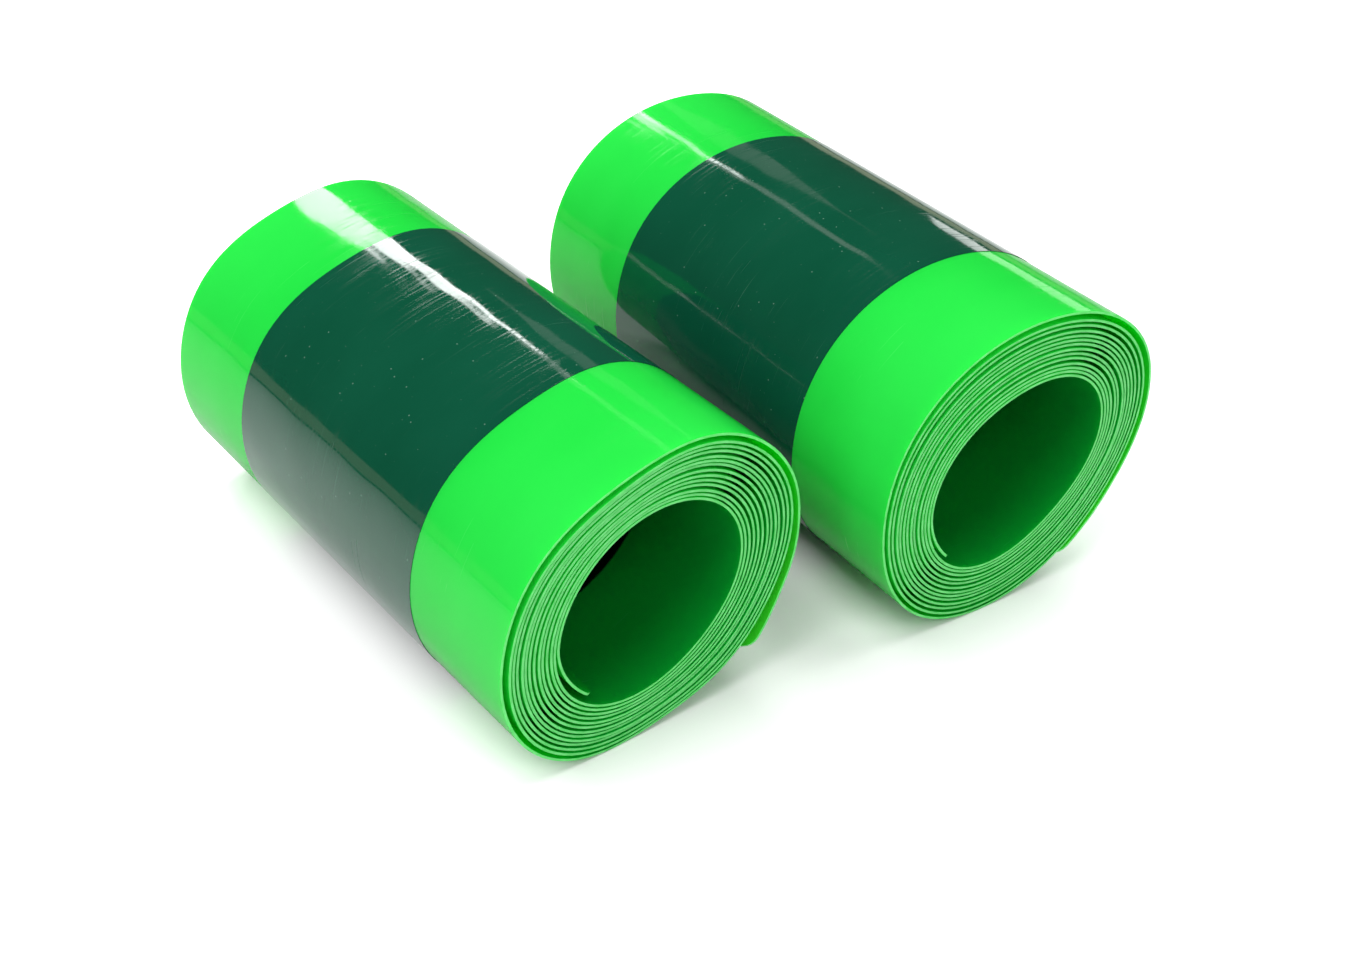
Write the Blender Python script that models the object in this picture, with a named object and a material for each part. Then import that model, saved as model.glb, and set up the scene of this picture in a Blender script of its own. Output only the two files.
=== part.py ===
"""A pair of loose rolls of flat plastic strip, lying side by side.

Each roll is one long translucent strip wound on itself with no core, and a darker belt
that is bonded along the middle of the strip's outer face and wound up with it.
Metres, +Z up. The rolls' bores point along Y, and their near ends face -Y.
"""

import math
from dataclasses import dataclass

import bmesh
import bpy
from mathutils import Matrix, Vector

# Strip and belt.
STRIP_WIDTH = 0.112
STRIP_THICKNESS = 0.00038
STRIP_CORNER_RADIUS = 0.0025
BELT_WIDTH = 0.059
BELT_THICKNESS = 0.00015
LAYER_CLEARANCE = 0.00012  # left free on each face of the belt

# How the two rolls lie.
PAIR_GAP = 0.0171  # air between the two rolls, ovality aside
PAIR_STAGGER = 0.007  # the right roll lies this much nearer the front
ROLL_TOE_DEG = 1.95  # each roll is turned in by this much at its front end

# The wound shape.
FLAT_DEPTH = 0.0005  # how far the roll's own weight presses its underside flat
STEPS_PER_TURN = 20
CORNER_STEPS = 3
END_FACET_LENGTH = 1.3 * STRIP_CORNER_RADIUS  # leaves room for the rounded corners
SPRING_CURVE = 1.5  # how a strip end bends away: 1 straight, 2 like a beam under its own spring
SMOOTH_UNDER_DEG = 30.0
ROUNDING = 1.001  # an angle this much past the flat's edge still counts as on it


@dataclass(frozen=True)
class Roll:
    """One roll's own sizes. Angles are in degrees, clockwise from +X as seen from the front."""

    side: int  # -1 for the left roll, +1 for the right
    mean_radius: float  # outside, at the strip's outer end
    ovality: float  # how far the long half-axis goes past the mean radius, as a share of it
    bore_ovality: float  # how far the innermost turn's does, as a share of the same mean radius
    oval_tilt_deg: float
    slack: float  # air that a turn has beyond the layer clearances, as a mean
    turns: float
    inner_end_deg: float
    inner_spring: float  # how far the inner end springs into the bore
    inner_sweep_deg: float
    outer_lift: float  # how far the outer end stands off the roll
    outer_sweep_deg: float


ROLLS = {
    "left_roll": Roll(
        side=-1,
        mean_radius=0.0302,
        ovality=0.063,
        bore_ovality=0.047,
        oval_tilt_deg=-36.8,
        slack=0.00008,
        turns=13.74,
        inner_end_deg=140.0,
        inner_spring=0.0016,
        inner_sweep_deg=40.0,
        outer_lift=0.0016,
        outer_sweep_deg=50.0,
    ),
    "right_roll": Roll(
        side=1,
        mean_radius=0.0317,
        ovality=0.057,
        bore_ovality=0.048,
        oval_tilt_deg=-36.4,
        slack=0.00014,
        turns=13.77,
        inner_end_deg=139.0,
        inner_spring=0.0009,
        inner_sweep_deg=40.0,
        outer_lift=0.0009,
        outer_sweep_deg=50.0,
    ),
}


def clear_scene():
    for scene_object in list(bpy.data.objects):
        bpy.data.objects.remove(scene_object, do_unlink=True)


def plastic(name, colour, roughness):
    """A glossy plastic finish."""
    material = bpy.data.materials.new(name)
    material.use_nodes = True
    shader = material.node_tree.nodes["Principled BSDF"]
    shader.inputs["Base Color"].default_value = (*colour, 1.0)
    shader.inputs["Roughness"].default_value = roughness
    shader.inputs["Metallic"].default_value = 0.0
    material.diffuse_color = (*colour, 1.0)
    return material


def turn_pitch(roll):
    """What one turn adds to the mean radius."""
    return STRIP_THICKNESS + BELT_THICKNESS + 2 * LAYER_CLEARANCE + roll.slack


def bore_radius(roll):
    """The mean radius of the strip's inner end."""
    return roll.mean_radius - turn_pitch(roll) * roll.turns


def flat_half_angle(roll):
    """Half the angle that the pressed underside takes up, as seen from the axis."""
    return math.acos(1 - FLAT_DEPTH / roll.mean_radius)


def angle_from_underside(angle):
    return (angle - math.pi / 2 + math.pi) % (2 * math.pi) - math.pi


def turns_wound(roll, angle):
    """Turns laid down by this angle. Nothing is gained across the underside, so it stays level."""
    half_flat = flat_half_angle(roll)
    round_part = 2 * math.pi - 2 * half_flat
    whole, rest = divmod(angle - math.pi / 2 - half_flat, 2 * math.pi)
    return whole + min(rest, round_part) / round_part


def end_angles(roll):
    inner = math.radians(roll.inner_end_deg)
    return inner, inner + 2 * math.pi * roll.turns


def station_angles(roll):
    """Angles from the inner end to the outer: the same directions on each turn, so layers stay parallel."""
    inner, outer = end_angles(roll)
    half_flat = flat_half_angle(roll)
    step = (2 * math.pi - 2 * half_flat) / (STEPS_PER_TURN - 1)
    first = inner + END_FACET_LENGTH / bore_radius(roll)
    last = outer - END_FACET_LENGTH / roll.mean_radius
    angles = [inner]
    for turn in range(-1, math.ceil(roll.turns) + 1):
        start = math.pi / 2 + half_flat + 2 * math.pi * turn
        angles += [start + step * i for i in range(STEPS_PER_TURN) if first < start + step * i < last]
    if angles[1] - inner > step:
        angles.insert(1, first)
    if outer - angles[-1] > step:
        angles.append(last)
    return angles + [outer]


def sprung(amount, sweep_deg, angle_from_end):
    """How far a strip end stands away at this angle from its tip."""
    share = 1 - angle_from_end / math.radians(sweep_deg)
    return amount * share**SPRING_CURVE if share > 0 else 0.0


def wound_path(roll, outward):
    """The path of a layer's inner face, as (x, z) from the bore's axis, this far out from the strip's own."""
    inner, outer = end_angles(roll)
    path = []
    for angle in station_angles(roll):
        buried = turns_wound(roll, outer) - turns_wound(roll, angle)
        share = buried / roll.turns
        ovality = roll.mean_radius * (roll.ovality * (1 - share) + roll.bore_ovality * share)
        on_underside = abs(angle_from_underside(angle)) < flat_half_angle(roll) * ROUNDING
        oval_angle = (math.pi / 2 if on_underside else angle) - math.radians(roll.oval_tilt_deg)
        radius = roll.mean_radius - turn_pitch(roll) * buried + ovality * math.cos(2 * oval_angle)
        radius += outward - STRIP_THICKNESS - LAYER_CLEARANCE - BELT_THICKNESS
        radius -= sprung(roll.inner_spring, roll.inner_sweep_deg, angle - inner)
        radius += sprung(roll.outer_lift, roll.outer_sweep_deg, outer - angle)
        path.append(Vector((radius * math.cos(angle), 0.0, -radius * math.sin(angle))))
    return path


def wound_band(name, path, width, thickness, corner_radius, material):
    """A flat band of this width that follows the path: a ribbon drawn along Y, then given its thickness."""
    shape = bmesh.new()
    points = [shape.verts.new(point - Vector((0, width / 2, 0))) for point in path]
    edges = [shape.edges.new(pair) for pair in zip(points, points[1:])]
    drawn = bmesh.ops.extrude_edge_only(shape, edges=edges)["geom"]
    far_side = [item for item in drawn if isinstance(item, bmesh.types.BMVert)]
    bmesh.ops.translate(shape, verts=far_side, vec=(0, width, 0))
    if corner_radius:
        corners = [vertex for vertex in shape.verts if len(vertex.link_faces) == 1]
        bmesh.ops.bevel(
            shape,
            geom=corners,
            offset=corner_radius,
            offset_type="OFFSET",
            segments=CORNER_STEPS,
            profile=0.5,
            affect="VERTICES",
            material=-1,
        )
    shape.normal_update()
    bmesh.ops.solidify(shape, geom=shape.faces[:], thickness=thickness)
    bmesh.ops.recalc_face_normals(shape, faces=shape.faces[:])
    mesh = bpy.data.meshes.new(name)
    shape.to_mesh(mesh)
    shape.free()
    mesh.shade_smooth()
    mesh.set_sharp_from_angle(angle=math.radians(SMOOTH_UNDER_DEG))
    mesh.materials.append(material)
    band = bpy.data.objects.new(name, mesh)
    bpy.context.scene.collection.objects.link(band)
    return band


def path_length(path):
    return sum((b - a).length for a, b in zip(path, path[1:]))


def distance_to_facet(point, start, end):
    along = end - start
    share = max(0.0, min(1.0, (point - start).dot(along) / along.length_squared))
    return (point - start - share * along).length


def least_self_gap(path, thickness):
    """The least air between a layer and the turns next to it."""
    least = math.inf
    for i, point in enumerate(path):
        facets_of_next_turn = range(i + STEPS_PER_TURN // 2, min(i + 2 * STEPS_PER_TURN, len(path) - 1))
        for j in facets_of_next_turn:
            least = min(least, distance_to_facet(point, path[j], path[j + 1]))
        facets_of_last_turn = range(max(0, i - 2 * STEPS_PER_TURN), max(0, i - STEPS_PER_TURN // 2))
        for j in facets_of_last_turn:
            least = min(least, distance_to_facet(point, path[j], path[j + 1]))
    return least - thickness


def build_roll(name, roll, strip_plastic, belt_plastic):
    """One roll standing on z = 0, on an empty at the foot of its middle."""
    centre = bpy.data.objects.new(name, None)
    bpy.context.scene.collection.objects.link(centre)
    strip_path = wound_path(roll, 0.0)
    belt_path = wound_path(roll, STRIP_THICKNESS + LAYER_CLEARANCE)
    bands = (
        wound_band(name + "_strip", strip_path, STRIP_WIDTH, STRIP_THICKNESS, STRIP_CORNER_RADIUS, strip_plastic),
        wound_band(name + "_belt", belt_path, BELT_WIDTH, BELT_THICKNESS, 0.0, belt_plastic),
    )
    foot = min(corner.co.z for band in bands for corner in band.data.vertices)
    for band in bands:
        band.data.transform(Matrix.Translation((0, 0, -foot)))
        band.parent = centre
    print(f"{name}: strip {path_length(strip_path):.3f} m long, axis {-foot * 1000:.2f} mm up")
    print(f"{name}_strip least gap to itself {least_self_gap(strip_path, STRIP_THICKNESS) * 1000:.3f} mm")
    print(f"{name}_belt least gap to itself {least_self_gap(belt_path, BELT_THICKNESS) * 1000:.3f} mm")
    return centre


def lay_pair(centres):
    """Puts the rolls side by side, with the middle of the pair's box on the origin."""
    spacing = PAIR_GAP + sum(roll.mean_radius for roll in ROLLS.values())
    for name, centre in centres.items():
        side = ROLLS[name].side
        centre.location = (side * spacing / 2, -side * PAIR_STAGGER / 2, 0)
        centre.rotation_euler.z = -side * math.radians(ROLL_TOE_DEG)
    bpy.context.view_layer.update()
    corners = [
        band.matrix_world @ vertex.co
        for centre in centres.values()
        for band in centre.children
        for vertex in band.data.vertices
    ]
    middle = [(min(c[i] for c in corners) + max(c[i] for c in corners)) / 2 for i in (0, 1)]
    for name, centre in centres.items():
        centre.location -= Vector((middle[0], middle[1], 0))
        print(f"{name} stands at {centre.location.x * 1000:.2f}, {centre.location.y * 1000:.2f} mm")


def main():
    clear_scene()
    strip_plastic = plastic("bright_green_plastic", (0.03, 0.75, 0.07), 0.18)
    belt_plastic = plastic("dark_green_plastic", (0.005, 0.08, 0.035), 0.16)
    lay_pair({name: build_roll(name, roll, strip_plastic, belt_plastic) for name, roll in ROLLS.items()})


main()
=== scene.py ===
"""A pair of loose rolls of green plastic strip with a dark belt, on a white floor.

Each strip and each belt is modelled lying flat, with its real length, rounded corners and rounded
edges, and is then wound up along its roll's own spiral. Metres, +Z up.
"""

import math
from dataclasses import dataclass

import bmesh
import bpy
from mathutils import Matrix, Quaternion, Vector, noise


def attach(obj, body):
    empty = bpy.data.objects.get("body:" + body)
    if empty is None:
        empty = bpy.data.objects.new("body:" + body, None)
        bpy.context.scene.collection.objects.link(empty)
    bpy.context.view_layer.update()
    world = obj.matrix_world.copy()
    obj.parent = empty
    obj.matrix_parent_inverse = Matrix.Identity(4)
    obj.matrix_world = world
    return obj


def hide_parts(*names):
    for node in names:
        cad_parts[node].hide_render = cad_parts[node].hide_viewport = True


MM = 0.001
TURN = 2 * math.pi


@dataclass(frozen=True)
class Band:
    """A flat band, as it is before it is wound up."""

    width: float
    thickness: float
    corner: float  # radius of its rounded corners
    height: float  # of its lower face, above the strip's inner face


# The strip, and the belt that is glued along its outer face.
GLUE_LINE = 0.01 * MM
STRIP = Band(width=112 * MM, thickness=0.50 * MM, corner=3.4 * MM, height=0.0)
BELT = Band(width=59.5 * MM, thickness=0.09 * MM, corner=1.0 * MM, height=STRIP.thickness + GLUE_LINE)
BACKLIGHT_PAINT_FULL_LENGTH = 15 * MM  # painted backlight: the strip's outer end is painted fully bright, as if lit from behind
BACKLIGHT_PAINT_FADED_LENGTH = 60 * MM  # as far as the painted backlight reaches, where light from behind is taken to fade out

# Its rounded edges.
EDGE_ROUNDING = 0.07 * MM
THIN_EDGE_ROUNDING = 0.3  # never more than this share of the thickness
EDGE_STEPS = 2
SHARP_OVER_DEG = 60
SMOOTH_UNDER_DEG = 20  # keeps a face's shading flat across its width, right up to the rounded edge
LEVEL_ENOUGH = 0.9  # a flat band's upper or lower face has at least this much normal along Z
OUTER_FACE, INNER_FACE, CUT_EDGE = range(3)  # the order of a band's materials

# The winding.
STEPS_PER_TURN = 96
CORNER_STEPS = 6
CORNER_MARGIN = 1.1  # how far from a band's end its plain columns start, in corner radii
LEAST_AIR = 0.01 * MM
LEAST_PITCH = STRIP.thickness + GLUE_LINE + BELT.thickness + LEAST_AIR  # turn to turn, packed tight
SHARES_START = 0.39  # how many turns out from the inner end the air's shares are counted
WANDER = 0.05 * MM  # slow wandering of a turn off its own place in the pile
WANDER_PER_TURN = 0.7
SLIP_WANDER = 0.25 * MM  # the same along the bore's axis
SLIP_WANDER_PER_TURN = 0.8
SLIP_SEED = 4.0
SPRING_CURVE = 1.5
SPRING_BULGE = 2.5  # makes a sprung end stand out most just behind its tip

# Where the photographer's camera stood.
CAMERA_PLACE = Vector((-172.5, -232.4, 206.5)) * MM
CAMERA_TARGET = Vector((9.3, 3.4, 0.0)) * MM
CAMERA_ROLL = 0.0433
SENSOR_WIDTH = 36
FOCAL_LENGTH = 46.56
NEAREST_SEEN = 0.01
FURTHEST_SEEN = 20

# The floor. Past the paper's edge the camera sees white, and the gloss mirrors a dim table.
PAPER_RADIUS = 0.47
TABLE_GAP = 0.10
TABLE_RADIUS = 1.0
TABLE_RISE = 0.06
FLOOR_RADIUS = 6.0
RING_SIDES = 96

# The paper's colours. A span is two distances from the middle of the floor.
WHITE = (1, 1, 1, 1)
PAPER_WHITE = (0.86, 0.86, 0.86, 1)
PAPER_GLOW = 0.40
PAPER_GLOW_SPAN = (0.07, 0.22)
# In a mirror the paper is painted darker, and darker still further out: painted shade where less light
# reaches the far paper.
MIRRORED_PAPER = ((0.66, 0.68, 0.67, 1), (0.40, 0.42, 0.40, 1))
MIRRORED_PAPER_SPAN = (0.12, 0.40)
TABLE_COLOUR = (0.50, 0.48, 0.36, 1)
ROOM_COLOUR = (0.03, 0.03, 0.03, 1)

# The plastic's finish.
PLASTIC_IOR = 1.5
GREEN_ROUGHNESS = (0.04, 0.30)  # where it is rubbed least and most
FILM_ROUGHNESS = (0.02, 0.32)
CUT_ROUGHNESS = 0.45
CUT_SEEN_THROUGH = 0.3
DENT_DEPTH = 0.20 * MM
SCRATCH_DEPTH = 0.002 * MM
CUT_LINE_DEPTH = 0.01 * MM
BELT_BORDER = 0.2 * MM  # half the width of the border of the painted belt shade on the strip's inner face
RUBBED_EVERYWHERE = 0.15
FAINT = 0.35  # how strongly scratches and dust show on the film


@dataclass(frozen=True)
class Grain:
    """A noise over the band, and the values between which its marks fade in."""

    along: float  # cells per metre
    across: float
    detail: float
    low: float = 0.0
    high: float = 1.0
    roughness: float = 0.5  # of the noise, not of the surface


GREEN_CLOUD = Grain(14, 22, detail=3.0, low=0.35, high=0.65)
FILM_CLOUD = Grain(18, 30, detail=4.0, low=0.3, high=0.7)
DENTS = Grain(60, 50, detail=1.0)
SCRATCHES = Grain(40, 5200, detail=3.0)
STREAKS = Grain(55, 1900, detail=3.0, low=0.45, high=0.75)
PATCHES = Grain(30, 40, detail=2.0, low=0.35, high=0.65)
CUT_LINES = Grain(300, 8000, detail=2.0, low=0.35, high=0.65)
HAIRS = Grain(22, 3800, detail=4.0, low=0.70, high=0.78, roughness=0.7)
SPECKS = Grain(1500, 1500, detail=0.0, low=0.91, high=0.94)


@dataclass(frozen=True)
class Lobes:
    """A regular wave on an outline: so many lobes, so high, one of them at this clock angle."""

    count: int
    height: float
    at_deg: float


@dataclass(frozen=True)
class Roll:
    """Angles run clockwise from nine o'clock, as seen from the front."""

    centre: tuple  # where the bore's axis crosses the middle of the strip, seen from above
    yaw_deg: float
    turns: float
    inner_end_deg: float
    pile_radius: float  # the outline of the turns as if packed tight, at the outer end
    pile_lobes: tuple
    bore_radius: float
    bore_lobes: tuple
    air_shares: tuple  # how the air is shared out between the turns, from the bore out
    loose_turn: tuple  # air under the outermost turn, as (degrees before its end, air)
    inner_spring: float
    inner_sweep_deg: float
    recess: float  # how far the innermost turn lies behind the outermost
    belt_offset: float  # how far the belt lies off the strip's middle, towards the back
    seed: float


ROLLS = {
    "left_roll": Roll(
        centre=(-39.9 * MM, 3.8 * MM),
        yaw_deg=1.99,
        turns=13.776,
        inner_end_deg=306,
        pile_radius=29.2 * MM,
        pile_lobes=(
            Lobes(2, 2.18 * MM, -32.3),
            Lobes(4, 0.41 * MM, 40.0),
            Lobes(5, 0.21 * MM, 24.6),
            Lobes(6, 0.12 * MM, -9.8),
        ),
        bore_radius=17.85 * MM,
        bore_lobes=(Lobes(1, 0.44 * MM, -38), Lobes(2, 1.33 * MM, -40.1), Lobes(3, 0.18 * MM, 60.7)),
        air_shares=(1, 1, 3, 2, 2, 3, 3, 1, 1, 3, 2, 2, 2),
        loose_turn=(
            (0, 2.40 * MM),
            (30, 1.50 * MM),
            (60, 0.70 * MM),
            (100, 0.50 * MM),
            (130, 0.55 * MM),
            (166, 0.85 * MM),
            (226, 0.70 * MM),
            (275, 0.40 * MM),
            (330, 0.0),
        ),
        inner_spring=1.0 * MM,
        inner_sweep_deg=50,
        recess=0.65 * MM,
        belt_offset=0.3 * MM,
        seed=3.0,
    ),
    "right_roll": Roll(
        centre=(38.1 * MM, -3.8 * MM),
        yaw_deg=-1.99,
        turns=13.802,
        inner_end_deg=311,
        pile_radius=31.25 * MM,
        pile_lobes=(
            Lobes(2, 1.24 * MM, -38.9),
            Lobes(3, 0.69 * MM, 39.6),
            Lobes(4, 0.24 * MM, -38.6),
            Lobes(5, 0.10 * MM, 17.5),
        ),
        bore_radius=18.45 * MM,
        bore_lobes=(Lobes(1, 0.24 * MM, -48), Lobes(2, 1.78 * MM, -30.3), Lobes(3, 0.31 * MM, 38.5)),
        air_shares=(2, 1, 2, 5, 2, 4, 3, 2, 2, 3, 5, 4, 5),
        loose_turn=(
            (0, 0.45 * MM),
            (25, 0.60 * MM),
            (60, 0.90 * MM),
            (80, 0.80 * MM),
            (110, 0.50 * MM),
            (150, 0.35 * MM),
            (250, 0.25 * MM),
            (330, 0.0),
        ),
        inner_spring=0.45 * MM,
        inner_sweep_deg=40,
        recess=-0.44 * MM,
        belt_offset=-0.25 * MM,
        seed=11.0,
    ),
}


@dataclass(frozen=True)
class Panel:
    """A rectangular lamp that looks at the pair."""

    name: str
    direction_deg: float  # from +X towards +Y
    height_deg: float
    distance: float
    length: float
    width: float
    power: float
    mirrored: bool = False  # whether the gloss shows it
    lean_deg: float = 0.0


# Name, direction, height, distance, length, width, power.
SOFT_PANELS = (
    Panel("upper_left", 165, 56, 0.9, 1.0, 0.9, 12.5),
    Panel("upper_right", 15, 58, 0.9, 1.0, 0.9, 9),
    Panel("front_fill", -95, 38, 1.1, 1.0, 0.6, 5),
    Panel("left_fill", -155, 18, 1.1, 1.0, 0.5, 2),
)
PALE_WALLS = (
    Panel("pale_wall", 31, 8.5, 1.1, 0.20, 0.15, 0.22, mirrored=True),
    Panel("far_wall", 55, 31, 1.1, 0.16, 0.14, 0.03, mirrored=True),
)
# A window that narrows towards one end, as steps: direction, height, length, width, brightness.
WINDOW_STEPS = (
    (79.5, 32.6, 0.08, 0.21, 16.0),
    (75.8, 34.6, 0.06, 0.15, 12.0),
    (73.0, 36.0, 0.06, 0.09, 12.0),
    (69.5, 37.8, 0.09, 0.035, 12.0),
    (67.0, 42.5, 0.16, 0.05, 1.1),
)
WINDOW_DISTANCE = 1.1
WINDOW_LEAN_DEG = -54
PANELS_LOOK_AT = Vector((0, 0, 0.03))


# ---- the wound path ----


def outline(radius, lobes, angle):
    waves = (wave.height * math.cos(wave.count * (angle - math.radians(wave.at_deg))) for wave in lobes)
    return radius + sum(waves)


def eased(share):
    share = max(0.0, min(1.0, share))
    return share * share * (3 - 2 * share)


def air_under_last_turn(roll, degrees_left):
    """How far the outermost turn stands off the pile."""
    for (start, air), (end, next_air) in zip(roll.loose_turn, roll.loose_turn[1:]):
        if start <= degrees_left <= end:
            return air + (next_air - air) * eased((degrees_left - start) / (end - start))
    return 0.0


def air_share(roll, wound_turns):
    """How much of the pile's air lies inside this point of the winding, from 0 to 1."""
    place = wound_turns - SHARES_START
    inside = sum(share * max(0.0, min(1.0, place - i)) for i, share in enumerate(roll.air_shares))
    return inside / sum(roll.air_shares)


def wandering(roll, angle, wound_turns):
    place = Vector((math.cos(angle), math.sin(angle), WANDER_PER_TURN * wound_turns + roll.seed))
    return WANDER * noise.noise(place)


def sprung(roll, degrees_wound):
    """How far the strip's inner end springs into the bore, most of all just behind its tip."""
    share = min(1.0, degrees_wound / roll.inner_sweep_deg)
    return roll.inner_spring * (1 - share) ** SPRING_CURVE * (1 + SPRING_BULGE * share)


def wound_path(roll):
    """The strip's inner face, as (angle, radius) from the inner end out."""
    steps = round(roll.turns * STEPS_PER_TURN)
    start = math.radians(roll.inner_end_deg)
    path = []
    for i in range(steps + 1):
        wound_turns = roll.turns * i / steps
        angle = start + TURN * wound_turns
        bore = outline(roll.bore_radius, roll.bore_lobes, angle)
        pile = outline(roll.pile_radius, roll.pile_lobes, angle) - STRIP.thickness
        air = pile - bore - LEAST_PITCH * roll.turns
        radius = bore + LEAST_PITCH * wound_turns + air * air_share(roll, wound_turns)
        radius += wandering(roll, angle, wound_turns)
        radius += air_under_last_turn(roll, 360 * (roll.turns - wound_turns))
        radius -= sprung(roll, 360 * wound_turns)
        path.append([angle, radius])
    keep_turns_apart(path)
    return path


def keep_turns_apart(path):
    """Pushes a turn outwards where it would touch the one inside it."""
    for i in range(STEPS_PER_TURN, len(path)):
        inside = i - STEPS_PER_TURN
        share = (path[i][0] - path[inside][0]) / TURN
        path[i][1] = max(path[i][1], path[inside][1] + LEAST_PITCH * share)


def wound_points(roll):
    """The path as points in the roll's own X and Z, with its belt standing on the floor."""
    path = wound_path(roll)
    points = [Vector((-radius * math.cos(angle), radius * math.sin(angle))) for angle, radius in path]
    floor = min(point.y for point in points) - STRIP.thickness - GLUE_LINE - BELT.thickness
    return [point - Vector((0, floor)) for point in points]


def outward_normals(points):
    """Unit normals on the path's outer side."""
    normals = []
    for i in range(len(points)):
        ahead = points[min(i + 1, len(points) - 1)] - points[max(i - 1, 0)]
        normals.append(Vector((-ahead.y, ahead.x)).normalized())
    return normals


def lengths_along(points):
    """The path's length up to each of its points."""
    lengths = [0.0]
    for a, b in zip(points, points[1:]):
        lengths.append(lengths[-1] + (b - a).length)
    return lengths


def slip(roll, along):
    """How far back along its axis this point of the winding has slipped, with along from 0 to 1."""
    layer = along * roll.turns
    wander = SLIP_WANDER * noise.noise(Vector((SLIP_WANDER_PER_TURN * layer, roll.seed, SLIP_SEED)))
    return wander + roll.recess * (1 - along)


# ---- winding up a flat band ----


def corner_cut(distance_from_end, corner):
    """How much narrower a band's half width is, this near to its rounded end."""
    if distance_from_end >= corner:
        return 0.0
    return corner - math.sqrt(max(0.0, corner**2 - (corner - distance_from_end) ** 2))


def column_places(lengths, corner):
    """Where the flat band's columns lie: one for each point of the path, and finer ones at its ends."""
    total = lengths[-1]
    fine = [corner * (1 - math.cos(math.pi / 2 * k / CORNER_STEPS)) for k in range(CORNER_STEPS + 1)]
    margin = corner * CORNER_MARGIN
    plain = [x for x in lengths if margin < x < total - margin]
    return sorted(fine + plain + [total - x for x in fine])


def flat_band(band, lengths):
    """A band lying flat: X along it, Y across it, its lower face at Z = 0."""
    places = column_places(lengths, band.corner)
    shape = bmesh.new()
    bmesh.ops.create_grid(shape, x_segments=len(places) - 1, y_segments=1, size=0.5)
    shape.verts.ensure_lookup_table()
    for vertex in shape.verts:
        column = round((vertex.co.x + 0.5) * (len(places) - 1))
        place = places[column]
        half = band.width / 2 - corner_cut(min(place, lengths[-1] - place), band.corner)
        vertex.co = Vector((place, math.copysign(half, vertex.co.y), 0))
    bmesh.ops.solidify(shape, geom=shape.faces[:], thickness=band.thickness)
    bmesh.ops.recalc_face_normals(shape, faces=shape.faces[:])
    lowest = min(vertex.co.z for vertex in shape.verts)
    bmesh.ops.translate(shape, verts=shape.verts[:], vec=(0, 0, -lowest))
    round_edges(shape, band.thickness)
    return shape


def round_edges(shape, thickness):
    """Rounds the rims of both faces, and leaves the short upright edges as they are."""
    shape.normal_update()
    sharp = [edge for edge in shape.edges if edge.calc_face_angle(0.0) > math.radians(SHARP_OVER_DEG)]
    rims = [edge for edge in sharp if abs(edge.verts[0].co.z - edge.verts[1].co.z) <= thickness / 2]
    bmesh.ops.bevel(
        shape,
        geom=rims,
        offset=min(EDGE_ROUNDING, thickness * THIN_EDGE_ROUNDING),
        offset_type="OFFSET",
        segments=EDGE_STEPS,
        profile=0.5,
        affect="EDGES",
        material=-1,
    )


def number_faces(shape):
    """Gives the outer face, the inner face and the cut edges their own material numbers."""
    shape.normal_update()
    for face in shape.faces:
        face.smooth = True
        if abs(face.normal.z) < LEVEL_ENOUGH:
            face.material_index = CUT_EDGE
        else:
            face.material_index = OUTER_FACE if face.normal.z > 0 else INNER_FACE


def map_length_and_width(shape, length):
    """A UV map in metres: U along the band from its outer end, V across it from its middle."""
    layer = shape.loops.layers.uv.new("band")
    for face in shape.faces:
        for loop in face.loops:
            loop[layer].uv = (length - loop.vert.co.x, loop.vert.co.y)


def wind_up(shape, roll, points, lengths, height, offset):
    """Bends the flat band along the path, this high above the strip's inner face."""
    normals = outward_normals(points)
    total = lengths[-1]
    index = 0
    for vertex in sorted(shape.verts, key=lambda v: v.co.x):
        along = min(max(vertex.co.x, 0.0), total)
        while index < len(lengths) - 2 and lengths[index + 1] < along:
            index += 1
        share = (along - lengths[index]) / (lengths[index + 1] - lengths[index])
        point = points[index].lerp(points[index + 1], share)
        normal = normals[index].lerp(normals[index + 1], share).normalized()
        place = point + normal * (vertex.co.z + height)
        vertex.co = Vector((place.x, vertex.co.y + offset + slip(roll, along / total), place.y))


def wound_piece(name, roll, points, band, offset, finishes):
    """One band, wound up on its roll and set in its place on the floor."""
    lengths = lengths_along(points)
    shape = flat_band(band, lengths)
    number_faces(shape)
    map_length_and_width(shape, lengths[-1])
    wind_up(shape, roll, points, lengths, band.height, offset)
    mesh = bpy.data.meshes.new(name)
    shape.to_mesh(mesh)
    shape.free()
    turned = Matrix.Rotation(math.radians(roll.yaw_deg), 4, "Z")
    mesh.transform(Matrix.Translation((*roll.centre, 0)) @ turned)
    mesh.set_sharp_from_angle(angle=math.radians(SMOOTH_UNDER_DEG))
    for finish in finishes:
        mesh.materials.append(finish)
    piece = bpy.data.objects.new(name, mesh)
    bpy.context.scene.collection.objects.link(piece)
    return piece


# ---- materials ----


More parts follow.
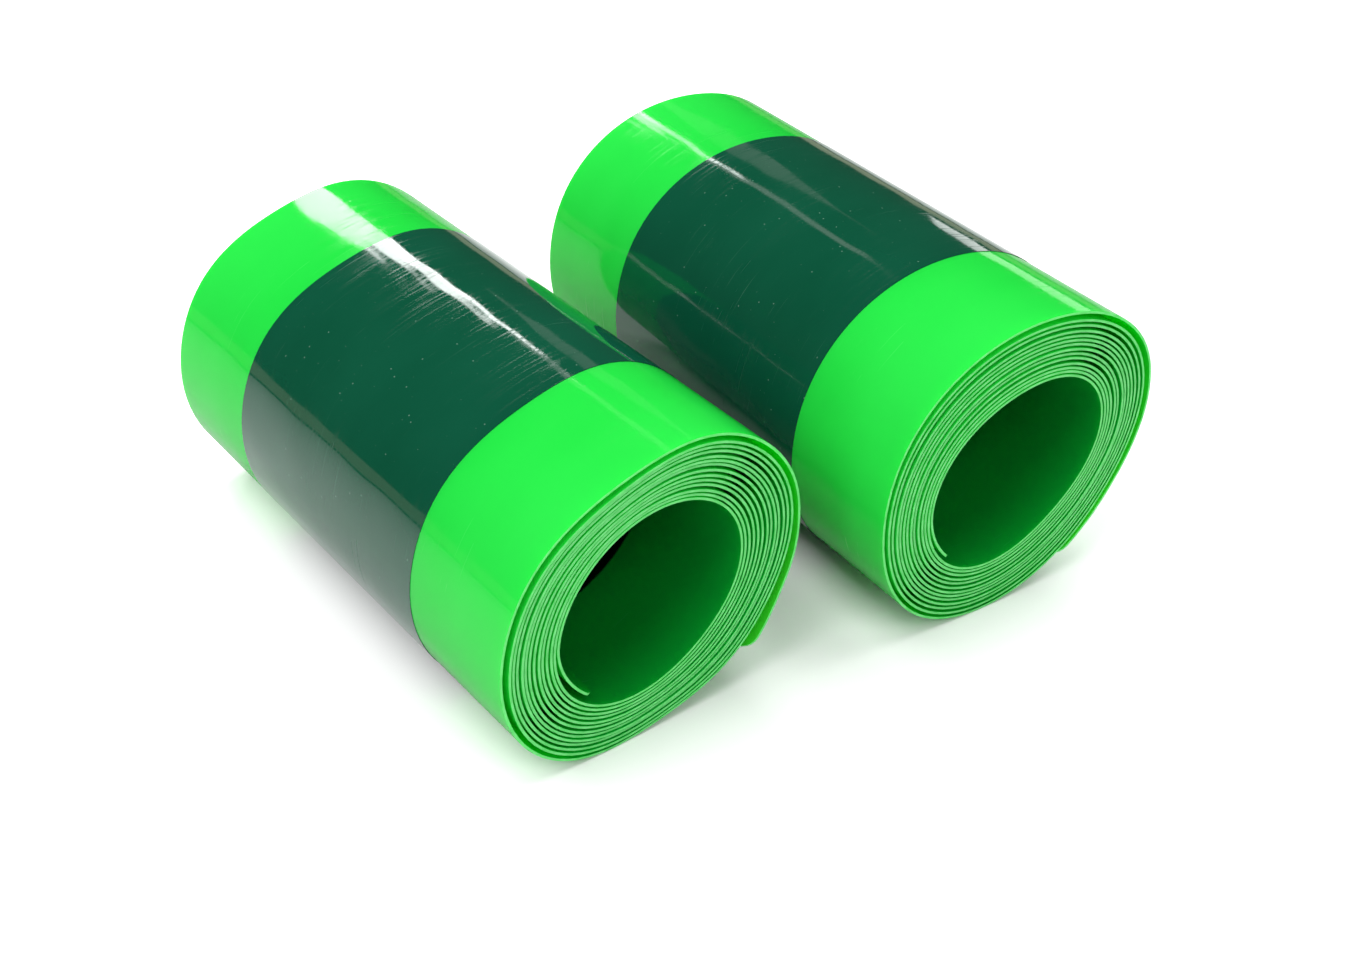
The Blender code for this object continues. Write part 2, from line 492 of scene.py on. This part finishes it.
class Nodes:
    """A small helper that builds one material's node tree."""

    def __init__(self, name):
        self.material = bpy.data.materials.new(name)
        self.material.use_nodes = True
        self.tree = self.material.node_tree
        self.tree.nodes.clear()
        self.output = self.tree.nodes.new("ShaderNodeOutputMaterial")

    def add(self, kind, settings=(), **inputs):
        node = self.tree.nodes.new(kind)
        for key, value in dict(settings).items():
            setattr(node, key, value)
        for key, value in inputs.items():
            self.set(node, key.replace("_", " "), value)
        return node

    def set(self, node, key, value):
        socket = node.inputs[int(key)] if key.isdigit() else node.inputs[key]
        if isinstance(value, bpy.types.NodeSocket):
            self.tree.links.new(value, socket)
        else:
            socket.default_value = value

    def computed(self, operation, *values):
        node = self.add("ShaderNodeMath", {"operation": operation})
        for i, value in enumerate(values):
            self.set(node, str(i), value)
        return node.outputs[0]

    def joined(self, kind, first, second, **inputs):
        """Two shaders joined by a node of this kind. The shaders are its last two inputs."""
        node = self.add(kind, **inputs)
        last = len(node.inputs) - 1
        self.set(node, str(last - 1), first.outputs[0])
        self.set(node, str(last), second.outputs[0])
        return node

    def finished(self, shader):
        self.set(self.output, "Surface", shader.outputs[0])
        return self.material


def band_place(nodes):
    return nodes.add("ShaderNodeUVMap", {"uv_map": "band"}).outputs["UV"]


def texture(nodes, grain):
    """Noise stretched along or across the band."""
    scale = (grain.along, grain.across, 1.0)
    sized = nodes.add("ShaderNodeMapping", Vector=band_place(nodes), Scale=scale)
    cells = nodes.add(
        "ShaderNodeTexNoise",
        {"noise_dimensions": "2D"},
        Vector=sized.outputs[0],
        Scale=1.0,
        Detail=grain.detail,
        Roughness=grain.roughness,
    )
    return cells.outputs["Fac"]


def ranged(nodes, value, low, high, to_low=0.0, to_high=1.0):
    return nodes.add(
        "ShaderNodeMapRange", Value=value, From_Min=low, From_Max=high, To_Min=to_low, To_Max=to_high
    ).outputs["Result"]


def marks(nodes, grain, least=0.0, most=1.0):
    """The grain's marks: least where there is none, most where they stand out."""
    return ranged(nodes, texture(nodes, grain), grain.low, grain.high, least, most)


def blended(nodes, factor, first, second):
    mix = nodes.add("ShaderNodeMix", {"data_type": "RGBA"})
    nodes.set(mix, "0", factor)
    nodes.set(mix, "6", first)
    nodes.set(mix, "7", second)
    return mix.outputs[2]


def handled_surface(nodes):
    """The bump of a strip that has been wound by hand: slow dents, and fine scratches along it."""
    dents = texture(nodes, DENTS)
    dented = nodes.add("ShaderNodeBump", Strength=1.0, Distance=DENT_DEPTH, Height=dents).outputs[0]
    scratches = texture(nodes, SCRATCHES)
    scratched = nodes.add(
        "ShaderNodeBump", Strength=1.0, Distance=SCRATCH_DEPTH, Height=scratches, Normal=dented
    )
    return scratched.outputs[0]


def combed_roughness(nodes, least, most):
    """Gloss that is combed along the band: fine rubbed streaks, in patches."""
    rubbed = nodes.computed(
        "MULTIPLY", marks(nodes, STREAKS), marks(nodes, PATCHES, least=RUBBED_EVERYWHERE)
    )
    return ranged(nodes, rubbed, 0.0, 1.0, least, most)


def over_belt(nodes):
    """Where the painted belt shade lies: 1 where the belt lies behind the strip, with a crisp border, and
    0 beside it.
    """
    across = nodes.add("ShaderNodeSeparateXYZ", Vector=band_place(nodes))
    distance = nodes.computed("ABSOLUTE", across.outputs["Y"])
    return ranged(nodes, distance, BELT.width / 2 - BELT_BORDER, BELT.width / 2 + BELT_BORDER, 1.0, 0.0)


def near_outer_end(nodes):
    """Where the painted backlight lies: 1 at the strip's outer end, and 0 from where it has the pile
    close behind it.
    """
    along = nodes.add("ShaderNodeSeparateXYZ", Vector=band_place(nodes))
    return ranged(nodes, along.outputs["X"], BACKLIGHT_PAINT_FULL_LENGTH, BACKLIGHT_PAINT_FADED_LENGTH, 1.0, 0.0)


def clear_green(name, light, deep, through, seen_through, painted_backlight=None, belt_painted_shade=None):
    """Glossy green plastic that lets some light through.

    The painted-backlight colour is painted light on the free end, standing in for light from behind it.
    The belt shade colour is painted shade where the belt, seen through the strip, blocks the light.
    """
    nodes = Nodes(name)
    colour = blended(nodes, marks(nodes, GREEN_CLOUD), light, deep)
    # Painted backlight: the free end painted bright, as if lit from behind.
    if painted_backlight:
        colour = blended(nodes, near_outer_end(nodes), colour, painted_backlight)
    # Painted shade behind the belt, in both the colour and the light let through.
    if belt_painted_shade:
        behind = over_belt(nodes)
        colour = blended(nodes, behind, colour, belt_painted_shade)
        through = blended(nodes, behind, through, belt_painted_shade)
    bump = handled_surface(nodes)
    gloss = nodes.add(
        "ShaderNodeBsdfPrincipled",
        Base_Color=colour,
        Roughness=combed_roughness(nodes, *GREEN_ROUGHNESS),
        IOR=PLASTIC_IOR,
        Normal=bump,
    )
    glow = nodes.add("ShaderNodeBsdfTranslucent", Color=through, Normal=bump)
    return nodes.finished(nodes.joined("ShaderNodeMixShader", gloss, glow, Fac=seen_through))


def outer_face_finish():
    return clear_green(
        "green_outer_face",
        light=(0.030, 0.82, 0.085, 1),
        deep=(0.020, 0.76, 0.068, 1),
        through=(0.03, 0.90, 0.06, 1),
        seen_through=0.48,
    )


def inner_face_finish():
    return clear_green(
        "green_inner_painted_shade",
        # The inner face is painted far darker than the outer face of the same plastic: painted shade for
        # the bore inside the roll.
        light=(0.004, 0.32, 0.046, 1),
        deep=(0.003, 0.26, 0.038, 1),
        through=(0.03, 0.88, 0.08, 1),
        seen_through=0.52,
        # Painted backlight on the free end, standing in for light from behind.
        painted_backlight=(0.09, 0.80, 0.05, 1),
        # Painted shade where the belt behind the strip blocks the light.
        belt_painted_shade=(0.001, 0.010, 0.003, 1),
    )


def cut_edge_finish():
    """The knife-cut edge: slightly frosted, with faint lines along it. Its paler, brighter colour is
    partly the frosted cut and partly painted glow of light carried along inside the strip.
    """
    nodes = Nodes("green_cut_edge")
    # Partly the frosted cut, partly painted glow of light carried along inside the strip.
    pale = (0.20, 0.92, 0.26, 1)
    deep = (0.12, 0.80, 0.17, 1)
    through = (0.10, 0.85, 0.12, 1)
    lines = texture(nodes, CUT_LINES)
    colour = blended(nodes, ranged(nodes, lines, CUT_LINES.low, CUT_LINES.high), pale, deep)
    lined = nodes.add("ShaderNodeBump", Strength=1.0, Distance=CUT_LINE_DEPTH, Height=lines)
    gloss = nodes.add(
        "ShaderNodeBsdfPrincipled",
        Base_Color=colour,
        Roughness=CUT_ROUGHNESS,
        IOR=PLASTIC_IOR,
        Normal=lined.outputs[0],
    )
    glow = nodes.add("ShaderNodeBsdfTranslucent", Color=through)
    return nodes.finished(nodes.joined("ShaderNodeMixShader", gloss, glow, Fac=CUT_SEEN_THROUGH))


def dark_belt_finish():
    """The dark green film: deep and glossy, with hairline scratches and a little dust."""
    nodes = Nodes("dark_green_film")
    deep = (0.0014, 0.046, 0.022, 1)
    paler = (0.0026, 0.056, 0.028, 1)
    scratch = (0.12, 0.25, 0.19, 1)
    dust = (0.20, 0.32, 0.26, 1)
    clouded = blended(nodes, marks(nodes, FILM_CLOUD), deep, paler)
    scratched = blended(nodes, marks(nodes, HAIRS, most=FAINT), clouded, scratch)
    dusty = blended(nodes, marks(nodes, SPECKS, most=FAINT), scratched, dust)
    gloss = nodes.add(
        "ShaderNodeBsdfPrincipled",
        Base_Color=dusty,
        Roughness=combed_roughness(nodes, *FILM_ROUGHNESS),
        IOR=PLASTIC_IOR,
        Normal=handled_surface(nodes),
    )
    return nodes.finished(gloss)


def white_paper():
    """White paper that glows a little away from the rolls.

    In a mirror it shows painted shade: darker, and most of all further out, where less light reaches it.
    """
    nodes = Nodes("white_paper")
    place = nodes.add("ShaderNodeTexCoord")
    from_middle = nodes.add("ShaderNodeVectorMath", {"operation": "LENGTH"})
    nodes.set(from_middle, "0", place.outputs["Object"])
    distance = from_middle.outputs["Value"]
    ray = nodes.add("ShaderNodeLightPath")
    mirrored = nodes.computed("MAXIMUM", ray.outputs["Is Glossy Ray"], ray.outputs["Is Transmission Ray"])
    in_mirror = blended(nodes, ranged(nodes, distance, *MIRRORED_PAPER_SPAN), *MIRRORED_PAPER)
    paper = nodes.add("ShaderNodeBsdfDiffuse", Color=blended(nodes, mirrored, PAPER_WHITE, in_mirror))
    away = ranged(nodes, distance, *PAPER_GLOW_SPAN, to_high=PAPER_GLOW)
    own = nodes.computed("MULTIPLY", ray.outputs["Is Camera Ray"], away)
    glow = nodes.add("ShaderNodeEmission", Color=WHITE, Strength=own)
    return nodes.finished(nodes.joined("ShaderNodeAddShader", paper, glow))


def plain_glow(name, colour):
    nodes = Nodes(name)
    return nodes.finished(nodes.add("ShaderNodeEmission", Color=colour, Strength=1.0))


# ---- the studio ----


def ring(name, inner, outer, material, rise=0.0):
    """A flat ring on the floor, or a disc where it has no inner radius. Its outer edge may rise."""
    shape = bmesh.new()
    bmesh.ops.create_circle(shape, cap_ends=not inner, segments=RING_SIDES, radius=inner or outer)
    if inner:
        drawn = bmesh.ops.extrude_edge_only(shape, edges=shape.edges[:])["geom"]
        far_side = [item for item in drawn if isinstance(item, bmesh.types.BMVert)]
        bmesh.ops.scale(shape, verts=far_side, vec=(outer / inner, outer / inner, 1))
        bmesh.ops.translate(shape, verts=far_side, vec=(0, 0, rise))
    for face in shape.faces:
        if face.normal.z < 0:
            face.normal_flip()
    mesh = bpy.data.meshes.new(name)
    shape.to_mesh(mesh)
    shape.free()
    mesh.materials.append(material)
    piece = bpy.data.objects.new(name, mesh)
    bpy.context.scene.collection.objects.link(piece)
    return piece


def lay_floor():
    """White paper under the rolls, and white beyond it, where the gloss mirrors a dim table instead."""
    ring("paper", 0.0, PAPER_RADIUS, white_paper())
    beyond = ring("beyond_paper", PAPER_RADIUS, FLOOR_RADIUS, plain_glow("white_beyond", WHITE))
    dim_table = plain_glow("dim_table", TABLE_COLOUR)
    table = ring("mirrored_table", PAPER_RADIUS + TABLE_GAP, TABLE_RADIUS, dim_table, TABLE_RISE)
    beyond.visible_glossy = False
    table.visible_camera = False
    for piece in (beyond, table):
        piece.visible_diffuse = False
        piece.visible_transmission = False


def hang_panel(panel):
    data = bpy.data.lights.new(panel.name, "AREA")
    data.shape = "RECTANGLE"
    data.size = panel.length
    data.size_y = panel.width
    data.energy = panel.power
    lamp = bpy.data.objects.new(panel.name, data)
    around = math.radians(panel.direction_deg)
    up = math.radians(panel.height_deg)
    away = Vector((math.cos(around) * math.cos(up), math.sin(around) * math.cos(up), math.sin(up)))
    lamp.location = away * panel.distance + PANELS_LOOK_AT
    lean = Quaternion((0, 0, 1), math.radians(panel.lean_deg))
    lamp.rotation_euler = (away.to_track_quat("Z", "Y") @ lean).to_euler()
    lamp.visible_glossy = panel.mirrored
    lamp.visible_camera = False
    bpy.context.scene.collection.objects.link(lamp)


def window_panels():
    for i, (direction, height, length, width, brightness) in enumerate(WINDOW_STEPS):
        yield Panel(
            f"window_{i}",
            direction,
            height,
            WINDOW_DISTANCE,
            length,
            width,
            power=brightness * math.pi * length * width,
            mirrored=True,
            lean_deg=WINDOW_LEAN_DEG,
        )


def light_studio():
    world = bpy.data.worlds.new("dim_room")
    world.use_nodes = True
    background = world.node_tree.nodes["Background"]
    background.inputs["Color"].default_value = ROOM_COLOUR
    background.inputs["Strength"].default_value = 1.0
    bpy.context.scene.world = world
    for panel in (*SOFT_PANELS, *window_panels(), *PALE_WALLS):
        hang_panel(panel)


def place_camera():
    data = bpy.data.cameras.new("camera")
    data.sensor_width = SENSOR_WIDTH
    data.lens = FOCAL_LENGTH
    data.clip_start = NEAREST_SEEN
    data.clip_end = FURTHEST_SEEN
    camera = bpy.data.objects.new("camera", data)
    forward = (CAMERA_TARGET - CAMERA_PLACE).normalized()
    right = forward.cross(Vector((0, 0, 1))).normalized()
    up = right.cross(forward)
    tilted_right = math.cos(CAMERA_ROLL) * right + math.sin(CAMERA_ROLL) * up
    tilted_up = -math.sin(CAMERA_ROLL) * right + math.cos(CAMERA_ROLL) * up
    turned = Matrix((tilted_right, tilted_up, -forward)).transposed()
    camera.matrix_world = Matrix.Translation(CAMERA_PLACE) @ turned.to_4x4()
    bpy.context.scene.collection.objects.link(camera)
    bpy.context.scene.camera = camera


def build_rolls():
    strip_finishes = (outer_face_finish(), inner_face_finish(), cut_edge_finish())
    belt_finishes = (dark_belt_finish(),) * len(strip_finishes)
    for name, roll in ROLLS.items():
        points = wound_points(roll)
        strip = wound_piece(name + "_wound_strip", roll, points, STRIP, 0.0, strip_finishes)
        belt = wound_piece(name + "_wound_belt", roll, points, BELT, roll.belt_offset, belt_finishes)
        pieces = (
            (strip, "_strip", "bright_green_plastic"),
            (belt, "_belt", "dark_green_plastic"),
        )
        for piece, node, slot in pieces:
            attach(piece, name)
            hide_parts(name + node)


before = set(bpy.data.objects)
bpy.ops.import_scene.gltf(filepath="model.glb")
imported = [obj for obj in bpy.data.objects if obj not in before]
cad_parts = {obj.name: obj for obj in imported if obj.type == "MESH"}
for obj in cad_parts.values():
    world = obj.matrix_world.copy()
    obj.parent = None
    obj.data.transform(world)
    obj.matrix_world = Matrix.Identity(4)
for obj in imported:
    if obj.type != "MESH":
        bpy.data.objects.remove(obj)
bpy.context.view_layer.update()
bpy.context.scene.view_settings.view_transform = "Standard"
build_rolls()
lay_floor()
light_studio()
place_camera()
